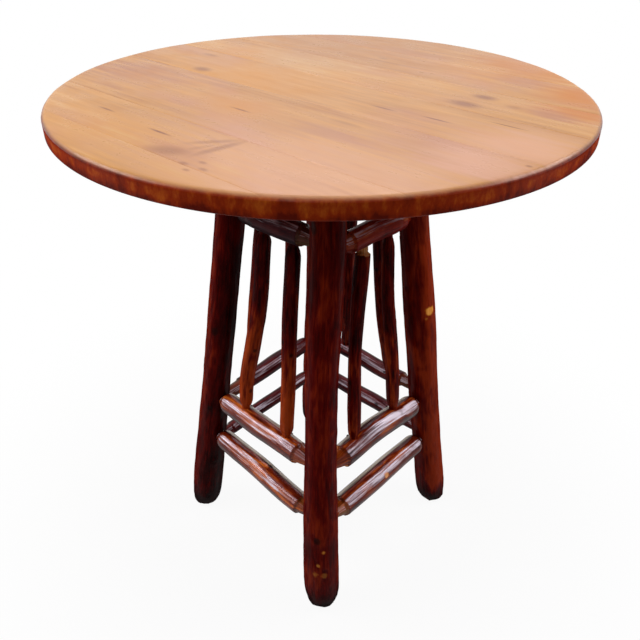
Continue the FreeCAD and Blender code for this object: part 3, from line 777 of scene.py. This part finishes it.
def pine_material(name, board, tones, marks=(), washes=()):
    """Amber-stained pine: growth bands of a flat-sawn board, fibres, washes of painted reflection and shade,
    pitch marks and soft knots.
    """
    shade = Shader(name)
    place = shade.place()
    own = shade.mapped(place, (1, 1, 1), -GRAIN_TURN, (board.seed * 0.9, 0, board.seed * 1.7))
    straight = shade.mapped(place, (1, 1, 1), -GRAIN_TURN)
    parts = shade.parts(straight)
    wander = shade.stretched(own, (1.0, 5.0, 1.0), 2.2, 3, 0.5)
    fine_wander = shade.stretched(own, (0.3, 1.6, 1.0), 14, 1, 0.5)
    across = shade.maths("SUBTRACT", parts["Y"], board.heart)
    across = shade.varied(shade.varied(across, wander, 0.075), fine_wander, 0.01)
    deep = shade.scaled(parts["X"], board.taper, board.depth)
    swell = shade.maths("SQRT", shade.plus(shade.times(across, across), shade.times(deep, deep)))
    marked = 0.0
    for x, y, long, wide, turn, dark in marks:
        angle = math.radians(turn)
        near = shade.away(shade.mapped(place, (1, 1, 1), -angle), *along_across(x, y, angle), long, wide)
        marked = shade.maths("MAXIMUM", marked, shade.between(near, 1.5, 0.2, 0.0, dark))
        if wide > KNOT_WIDE:
            swell = shade.plus(swell, shade.between(near, 3.2, 0.0, 0.0, 0.9 * wide))
    bands = shade.maths("FRACT", shade.times(swell, board.bands))
    late = shade.times(shade.between(bands, 0.25, 0.75), shade.between(bands, 1.0, 0.78))
    strength = shade.stretched(own, (1.2, 9, 1), 6, 3, 0.6)
    late = shade.times(late, shade.between(strength, 0.4, 0.72, 0.05, 1.0))
    fibres = shade.stretched(own, (0.04, 1, 1), 280, 1, 0.5)
    streaks = shade.stretched(own, (0.07, 1, 1), 85, 3, 0.55)
    clouds = shade.stretched(own, (0.5, 1.4, 1), 6, 3, 0.5)
    level = shade.scaled(late, -0.12, board.level)
    for layer, share in ((fibres, 0.2), (streaks, 0.75), (clouds, 0.55)):
        level = shade.varied(level, layer, share)
    colour = shade.ramp(level, tones)
    rosy = shade.stretched(own, (0.6, 1, 1.3), 7.5, 3, 0.5)
    colour = shade.mix(shade.between(rosy, 0.48, 0.72, 0.0, board.rosy), colour, ROSE)
    golden = shade.stretched(own, (0.6, 1.2, 0.8), 5.5, 2, 0.5)
    colour = shade.mix(shade.between(golden, 0.5, 0.75, 0.0, 0.5), colour, tones[-2][1])
    for x, y, long, wide, share, tint in washes:
        near = shade.away(straight, *along_across(x, y, GRAIN_TURN), long, wide)
        near = shade.varied(near, streaks, 1.2)
        colour = shade.mix(shade.between(near, 1.3, 0.2, 0.0, share), colour, tint)
    colour = shade.mix(marked, colour, PITCH)
    soft_edge = shade.varied(shade.attribute("edge"), streaks, 0.3)
    colour = shade.mix(shade.between(soft_edge, 0.12, 0.8), colour, rim_stain_and_shade(shade, place))
    shine = shade.stretched(own, (0.8, 1.5, 1), 18, 4, 0.6)
    rough = shade.between(shine, 0.3, 0.75, board.gloss, board.gloss + 0.12)
    return shade.finish(
        Base_Color=colour, Roughness=rough, Normal=shade.bump(fibres, 0.1, 0.0003), IOR=1.5,
        Specular_IOR_Level=0.2, Specular_Tint=(1, 0.65, 0.55, 1),
    )


def paint(node, material):
    """Give a CAD piece one material."""
    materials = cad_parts[node].data.materials
    materials.clear()
    materials.append(material)


def random_knots(seed, count, sizes, height):
    random = np.random.default_rng(seed)
    made = []
    for number in range(count):
        place = 0.12 + 0.76 * (number + random.uniform(0.1, 0.9)) / count
        size = random.uniform(*sizes)
        made.append((place, random.uniform(0, math.tau), size, height * random.uniform(0.6, 1.1)))
    return made


# Paints, as screen colours from 0 to 255
KNOT = (20, 5, 4)
PITCH = (116, 52, 36)
ROSE = (186, 128, 108)
PAINTED_BAND_HIGHLIGHT = (248, 238, 252)
PAINTED_EDGE_HIGHLIGHT = (214, 204, 186)
# How far outward and up a rail's band of painted highlight faces, and the most painted light on a leg's flank
HIGHLIGHT_OUT, HIGHLIGHT_UP = 0.643, 0.766
PAINTED_FLANK_MOST = 0.24
# A mark whose half width is over this is a knot, which the growth bands bend round
KNOT_WIDE = 0.006
KNIFE_CUT = [(0.15, (50, 10, 4)), (0.35, (130, 50, 12)), (0.6, (226, 130, 44)), (0.85, (250, 206, 150))]
# Legs: painted shade, darker towards the feet
leg_bark = bark_material(
    "hickory_bark_dark",
    [(0.2, (14, 0, 0)), (0.42, (50, 0, 0)), (0.6, (82, 4, 1)), (0.85, (134, 40, 10))],
    [(0.2, (90, 22, 8)), (0.55, (210, 116, 34)), (0.85, (250, 180, 84))],
    0.02, (1, 0.6, 0.6), fade=(0.0, 0.09, -0.55, 0.0), gloss=(0.16, 0.34), relief=0.45, patchy=0.5, painted_flank_light=0.8,
)
RAIL_TONES = [(0.25, (20, 1, 2)), (0.5, (52, 6, 4)), (0.7, (112, 34, 10)), (0.92, (214, 112, 40))]
# Painted shade: darker tones for the aprons under the top and the rails at the back
PAINTED_SHADE_TONES = [(0.25, (14, 1, 3)), (0.45, (40, 5, 9)), (0.62, (74, 16, 18)), (0.85, (116, 50, 46))]
SHADED_TONES = [(0.25, (62, 2, 1)), (0.5, (112, 14, 6)), (0.7, (150, 38, 14)), (0.92, (205, 106, 56))]
TO_LEFT, TO_RIGHT = (-0.7071, -0.7071), (0.7071, -0.7071)
RAIL_BARK = {}
for way, outward, painted_light, specular in (("left", TO_LEFT, 0.16, 0.25), ("right", TO_RIGHT, 0.1, 0.16)):
    RAIL_BARK[way] = bark_material(
        f"hickory_bark_painted_highlight_{way}", RAIL_TONES, KNIFE_CUT, specular, (1, 0.9, 1),
        outward=outward, worn=1.0, edge_highlight=0.75, painted_light=painted_light, gloss=(0.1, 0.22), relief=0.3,
    )
    RAIL_BARK[f"{way}_dark"] = bark_material(
        f"hickory_bark_painted_shade_{way}", PAINTED_SHADE_TONES, KNIFE_CUT, 0.05, (1, 0.8, 1),
        outward=outward, worn=0.75, edge_highlight=0.1, painted_light=0.1, relief=0.3,
    )
RAIL_BARK["shaded"] = bark_material(
    "hickory_bark_shaded", SHADED_TONES, KNIFE_CUT, 0.03, (1, 0.7, 0.7),
    outward=TO_RIGHT, worn=0.85, edge_highlight=0.6, painted_light=0.2, relief=0.3,
)
# Spindles: painted shadow, darker at the top under the tabletop and lighter towards the bottom, more so on
# the left
SPINDLE_BARK = {}
for way, painted_lighter in (("left", 0.24), ("right", 0.04)):
    SPINDLE_BARK[way] = bark_material(
        f"hickory_bark_spindle_{way}",
        [(0.25, (16, 0, 3)), (0.45, (38, 0, 1)), (0.62, (84, 6, 2)), (0.85, (154, 58, 18))],
        KNIFE_CUT, 0.02, (1, 0.8, 0.8), fade=(0.1, 0.9, -0.06, painted_lighter), gloss=(0.16, 0.3), relief=0.4,
    )

# How light the bare wood is at the whittled end of a rail
END_TONES = {
    "middle_rail_left_front": 0.8,
    "middle_rail_front_right": 1.0,
    "lower_rail_left_front": 0.2,
    "lower_rail_front_right": 0.25,
}
# Small places where the bark is gone, as a place on the pole, a size and how light the wood is there
BARE_SPOTS = {
    "leg_right": [((0.2315, -0.0289, 0.6194), 0.015, 1.0), ((0.224, -0.031, 0.604), 0.006, 0.4)],
    "leg_front": [
        ((-0.0002, -0.3117, 0.1927), 0.006, 0.5),
        ((-0.0101, -0.3214, 0.1559), 0.006, 0.4),
        ((-0.0167, -0.3249, 0.1284), 0.009, 0.22),
        ((0.004, -0.325, 0.126), 0.010, 0.2),
    ],
    "lower_rail_front_right": [((0.1524, -0.1495, 0.2462), 0.010, 0.9)],
}

for number, name in enumerate(LEGS):
    knots = random_knots(100 + number, 6, (0.009, 0.015), 0.0018)
    if name == "front":
        knots.append((0.565, math.pi, 0.012, 0.003))
    bark = Bark(11 + number, 0.0006, 0.0004, 14, knots, (13, 0), 0.0002)
    node = f"leg_{name}"
    spots = BARE_SPOTS.get(node, ())
    pole(node, bark, leg_bark, 120, 0.0025, (0.1, 0), level=True, spots=spots)

for number, (tier, side) in enumerate(itertools.product(TIERS, SIDES)):
    knots = random_knots(200 + number, 2, (0.006, 0.010), 0.0010)
    bark = Bark(31 + number, 0.00022, 0.00016, 9, knots, (10, 0), 0.0002, 0.0012)
    node = f"{tier}_rail_{side}"
    way = "left" if side in ("left_front", "right_back") else "right"
    if node == "apron_rail_front_right":
        way = "shaded"
    # Aprons under the top and rails at the back take the painted shade tones
    elif tier == "apron" or side in ("right_back", "back_left"):
        way += "_dark"
    material = RAIL_BARK[way]
    tones = (END_TONES.get(node, 0.08), 0)
    spots = BARE_SPOTS.get(node, ())
    pole(node, bark, material, 80, 0.0018, tones, neck=(0.6, 0.8), spots=spots)

for number, (side, which) in enumerate(itertools.product(SIDES, (1, 2))):
    knots = random_knots(300 + number, 4, (0.005, 0.008), 0.0010)
    bark = Bark(61 + number, 0.0003, 0.0002, 9, knots, (9, 9), 0.0007, 0.003)
    node = f"spindle_{side}_{which}"
    material = SPINDLE_BARK["left" if side in ("left_front", "back_left") else "right"]
    neck = (0.35, 0.6) if node == "spindle_front_right_1" else None
    pole(node, bark, material, 64, 0.002, (0.6 if neck else 0, 0), neck=neck)

nail_iron = iron_material("dark_nail", [(0.3, (22, 17, 16)), (0.7, (64, 50, 44))], 0.5, 0.8)
screw_steel = iron_material("zinc_screw", [(0.3, (120, 118, 112)), (0.7, (176, 172, 160))], 0.34, 1.0)
for node, metal in (("rail_nails", nail_iron), ("spindle_nails", nail_iron), ("batten_screws", screw_steel)):
    paint(node, metal)

PINE = [
    (0.12, (150, 92, 42)), (0.34, (176, 118, 62)), (0.52, (194, 140, 80)), (0.7, (206, 150, 84)),
    (0.9, (214, 170, 112)),
]
BATTEN = [(0.15, (60, 22, 10)), (0.45, (104, 46, 20)), (0.75, (140, 72, 34)), (0.95, (164, 96, 50))]
GRAIN = math.degrees(GRAIN_TURN)
# Soft washes of another colour on the boards, mostly painted reflection: lilac and blush where the top
# mirrors the light, the blush by the near edge a painted sheen, gold and amber where it mirrors less, and
# umber a
# painted shade over the far side. Each: place, half length, half width, strength and colour
REFLECTED_LILAC = (164, 104, 92)
GOLD = (206, 142, 60)
REFLECTED_BLUSH = (224, 172, 140)
PALE = (212, 172, 120)
AMBER = (196, 118, 36)
UMBER = (178, 124, 78)
NEAR_PAINTED_SHEEN = (0.0, -0.42, 0.36, 0.18, 0.5, REFLECTED_BLUSH)
FAR_PAINTED_SHADE = (0.08, 0.37, 0.30, 0.26, 0.55, UMBER)
WASHES = {
    1: [(-0.388, -0.163, 0.17, 0.05, 0.4, GOLD), NEAR_PAINTED_SHEEN],
    2: [NEAR_PAINTED_SHEEN, (-0.181, -0.137, 0.11, 0.06, 0.3, REFLECTED_LILAC), (-0.204, -0.309, 0.08, 0.04, 0.3, REFLECTED_LILAC),
        (-0.3, -0.2, 0.13, 0.05, 0.35, GOLD)],
    3: [NEAR_PAINTED_SHEEN, (-0.323, 0.105, 0.14, 0.09, 0.4, REFLECTED_LILAC), (0.202, -0.358, 0.1, 0.065, 0.15, REFLECTED_LILAC),
        (0.01, -0.242, 0.08, 0.025, 0.35, REFLECTED_LILAC), (-0.132, -0.11, 0.1, 0.06, 0.6, GOLD),
        (-0.06, -0.2, 0.08, 0.05, 0.4, UMBER), (0.2, -0.35, 0.09, 0.07, 0.7, REFLECTED_BLUSH)],
    4: [NEAR_PAINTED_SHEEN, (-0.13, 0.07, 0.17, 0.09, 0.75, GOLD), (0.23, -0.24, 0.14, 0.035, 0.2, REFLECTED_LILAC),
        (0.272, -0.29, 0.11, 0.08, 0.7, REFLECTED_BLUSH)],
    5: [(-0.043, 0.194, 0.16, 0.06, 0.4, PALE), FAR_PAINTED_SHADE, (-0.17, 0.25, 0.09, 0.08, 0.6, GOLD),
        (0.42, -0.122, 0.09, 0.08, 1.0, AMBER),
        (0.06, 0.06, 0.14, 0.05, 0.3, GOLD), (0.348, -0.156, 0.05, 0.024, 0.5, REFLECTED_LILAC)],
    6: [FAR_PAINTED_SHADE, (0.364, 0.038, 0.07, 0.04, 0.5, REFLECTED_LILAC), (0.34, 0.08, 0.18, 0.06, 0.3, AMBER),
        (0.44, -0.06, 0.09, 0.08, 0.9, AMBER)],
    7: [FAR_PAINTED_SHADE, (0.423, 0.108, 0.18, 0.1, 0.6, AMBER)],
}
# Marks on the boards: place, half length, half width, direction and how dark
MARKS = {
    1: [(-0.181, -0.369, 0.006, 0.0035, GRAIN, 0.4)],
    2: [
        (-0.339, -0.118, 0.02, 0.0024, GRAIN, 0.75), (-0.238, -0.227, 0.024, 0.0026, GRAIN, 0.8),
        (-0.156, -0.268, 0.038, 0.007, 8, 0.36), (-0.147, -0.293, 0.042, 0.008, 39, 0.44),
        (-0.172, -0.29, 0.026, 0.006, 25, 0.22), (-0.215, -0.3, 0.034, 0.015, -20, 0.4),
        (-0.245, -0.322, 0.026, 0.007, 10, 0.25), (-0.187, -0.347, 0.008, 0.0045, GRAIN, 0.4),
        (-0.163, -0.345, 0.007, 0.004, GRAIN, 0.38), (-0.16, -0.368, 0.008, 0.004, GRAIN, 0.38),
    ],
    3: [
        (-0.131, -0.123, 0.022, 0.0024, GRAIN, 0.75), (0.251, -0.362, 0.005, 0.0035, GRAIN, 0.55),
        (0.03, -0.19, 0.03, 0.006, GRAIN, 0.28),
    ],
    4: [
        (-0.221, 0.131, 0.02, 0.013, GRAIN, 0.6), (-0.218, 0.245, 0.022, 0.008, GRAIN, 0.35),
        (0.093, -0.116, 0.024, 0.0024, GRAIN, 0.75), (0.167, -0.174, 0.024, 0.0024, GRAIN, 0.75),
        (0.267, -0.204, 0.03, 0.0022, GRAIN, 0.7),
    ],
    5: [
        (0.227, -0.094, 0.028, 0.015, GRAIN, 0.6), (0.269, -0.058, 0.022, 0.013, GRAIN, 0.65),
        (0.301, -0.114, 0.014, 0.008, GRAIN, 0.3),
    ],
    6: [(0.13, 0.216, 0.012, 0.005, GRAIN, 0.35)],
    7: [],
}
# Each board's figure: its heart's place across the grain, how deep that lies and how it tapers, growth bands
# to the metre, tone, roughness and how rosy it is
Figure = namedtuple("Figure", "seed heart depth taper bands level gloss rosy")
BOARDS = [
    (-0.47, 0.05, 0.04, 62, 0.6, 0.26, 0.4),
    (-0.33, 0.03, 0.05, 56, 0.62, 0.25, 0.3),
    (-0.15, 0.05, -0.05, 50, 0.55, 0.26, 0.6),
    (0.03, 0.04, 0.03, 60, 0.6, 0.28, 0.45),
    (0.09, 0.07, 0.04, 54, 0.66, 0.26, 0.35),
    (0.27, 0.03, -0.04, 56, 0.56, 0.27, 0.45),
    (0.42, 0.05, 0.03, 62, 0.6, 0.26, 0.4),
]
UNSEEN = (0.1, 0.05, 0.02, 90, 0.5, 0.42, 0.1)

whole_top = disc_mesh()
rim = rim_material()
underside = pine_material("pine_underside", Figure(30, *UNSEEN), BATTEN)
for number, row in zip(TOP_NUMBERS, BOARDS):
    name = f"pine_board_{number}"
    face = pine_material(name, Figure(number, *row), PINE, MARKS[number], WASHES[number])
    board_piece(number, whole_top, [face, rim, underside])
bpy.data.meshes.remove(whole_top)
for number, name in enumerate(("front", "back")):
    paint(f"batten_{name}", pine_material(f"batten_wood_{name}", Figure(20 + number, *UNSEEN), BATTEN))


def place_camera():
    pitch, yaw, roll = (math.radians(angle) for angle in (35.938, 2.002, 0.505))
    forward = Vector((math.sin(yaw) * math.cos(pitch), math.cos(yaw) * math.cos(pitch), -math.sin(pitch)))
    right = Vector((math.cos(yaw), -math.sin(yaw), 0))
    up = right.cross(forward)
    across = right * math.cos(roll) + up * math.sin(roll)
    above = up * math.cos(roll) - right * math.sin(roll)
    data = bpy.data.cameras.new("photo_camera")
    data.sensor_width = 36
    data.lens = 35.387
    data.shift_x = 0.0002
    data.shift_y = 0.0171
    data.clip_start = 0.01
    camera = new_object("photo_camera", data)
    turn = Matrix((across, above, -forward)).transposed().to_4x4()
    camera.matrix_world = Matrix.Translation((-0.03924, -1.12239, 1.36392)) @ turn
    bpy.context.scene.camera = camera


def softbox(name, place, target, width, height, watts, colour):
    data = bpy.data.lights.new(name, "AREA")
    data.shape = "RECTANGLE"
    data.size = width
    data.size_y = height
    data.energy = watts
    data.color = colour
    lamp = new_object(name, data)
    lamp.location = place
    lamp.rotation_euler = (Vector(target) - Vector(place)).to_track_quat("-Z", "Y").to_euler()
    lamp.visible_camera = False


WORLD_LIGHT = 0.12
# Just under the feet, so that they and the floor don't share a plane
FLOOR_HEIGHT = -0.0004


def seen_rays(tree):
    """1 for the rays that show a surface as such: to the camera, in a reflection or through glass."""
    rays = tree.nodes.new("ShaderNodeLightPath")
    total = rays.outputs["Is Camera Ray"]
    for label in ("Is Glossy Ray", "Is Transmission Ray"):
        most = tree.nodes.new("ShaderNodeMath")
        most.operation = "MAXIMUM"
        tree.links.new(total, most.inputs[0])
        tree.links.new(rays.outputs[label], most.inputs[1])
        total = most.outputs[0]
    return total


def studio():
    """A white floor and backdrop, and soft lamps."""
    sides, rings = 64, (1.5, 4.0, 12.0, 40.0)
    points = []
    for radius in rings:
        for number in range(sides):
            angle = math.tau * number / sides
            points.append((radius * math.cos(angle), radius * math.sin(angle), FLOOR_HEIGHT))
    faces = [tuple(range(sides))]
    for ring in range(len(rings) - 1):
        for number in range(sides):
            a, b = ring * sides + number, ring * sides + (number + 1) % sides
            faces.append((a, a + sides, b + sides, b))
    mesh = bpy.data.meshes.new("floor")
    mesh.from_pydata(points, [], faces)
    floor = new_object("floor", mesh)
    shade = Shader("floor_white")
    place = shade.place()
    tone = shade.between(shade.noise(place, 3, 3), 0.2, 0.8, 0.6, 0.63)
    both = shade.node("ShaderNodeCombineColor")
    shade.put(both, Red=tone, Green=tone, Blue=tone)
    shade.finish(Base_Color=both.outputs[0], Roughness=0.9)
    far = shade.between(shade.length(place), 0.3, 1.2, 0.93, 1.0)
    white = shade.put(shade.node("ShaderNodeEmission"), Color=(1, 1, 1, 1), Strength=1.0)
    blend = shade.node("ShaderNodeMixShader")
    shade.put(blend, i0=shade.times(far, seen_rays(shade.tree)))
    shade.tree.links.new(shade.surface.outputs[0], blend.inputs[1])
    shade.tree.links.new(white.outputs[0], blend.inputs[2])
    shade.tree.links.new(blend.outputs[0], shade.tree.nodes["Material Output"].inputs[0])
    mesh.materials.append(shade.material)
    world = bpy.data.worlds.new("studio")
    bpy.context.scene.world = world
    world.use_nodes = True
    tree = world.node_tree
    back = tree.nodes["Background"]
    strength = tree.nodes.new("ShaderNodeMapRange")
    strength.inputs[3].default_value = WORLD_LIGHT
    strength.inputs[4].default_value = 1.0
    tree.links.new(seen_rays(tree), strength.inputs[0])
    tree.links.new(strength.outputs[0], back.inputs["Strength"])
    back.inputs["Color"].default_value = (1, 1, 1, 1)
    softbox("left", (-2.15, 0.1, 2.5), (0, 0, 0.45), 1.9, 0.8, 59, (1, 0.95, 0.97))
    softbox("right", (2.15, 0.1, 2.5), (0, 0, 0.45), 1.9, 0.8, 51, (1, 0.95, 0.97))
    softbox("back", (0.2, 3.0, 3.1), (0, 0, 0.6), 1.9, 1.0, 18, (1, 0.93, 1))
    softbox("front", (-0.6, -2.6, 2.9), (0, 0, 0.6), 0.9, 0.9, 9, (1, 0.96, 0.93))


place_camera()
studio()
bpy.context.scene.view_settings.view_transform = "Standard"
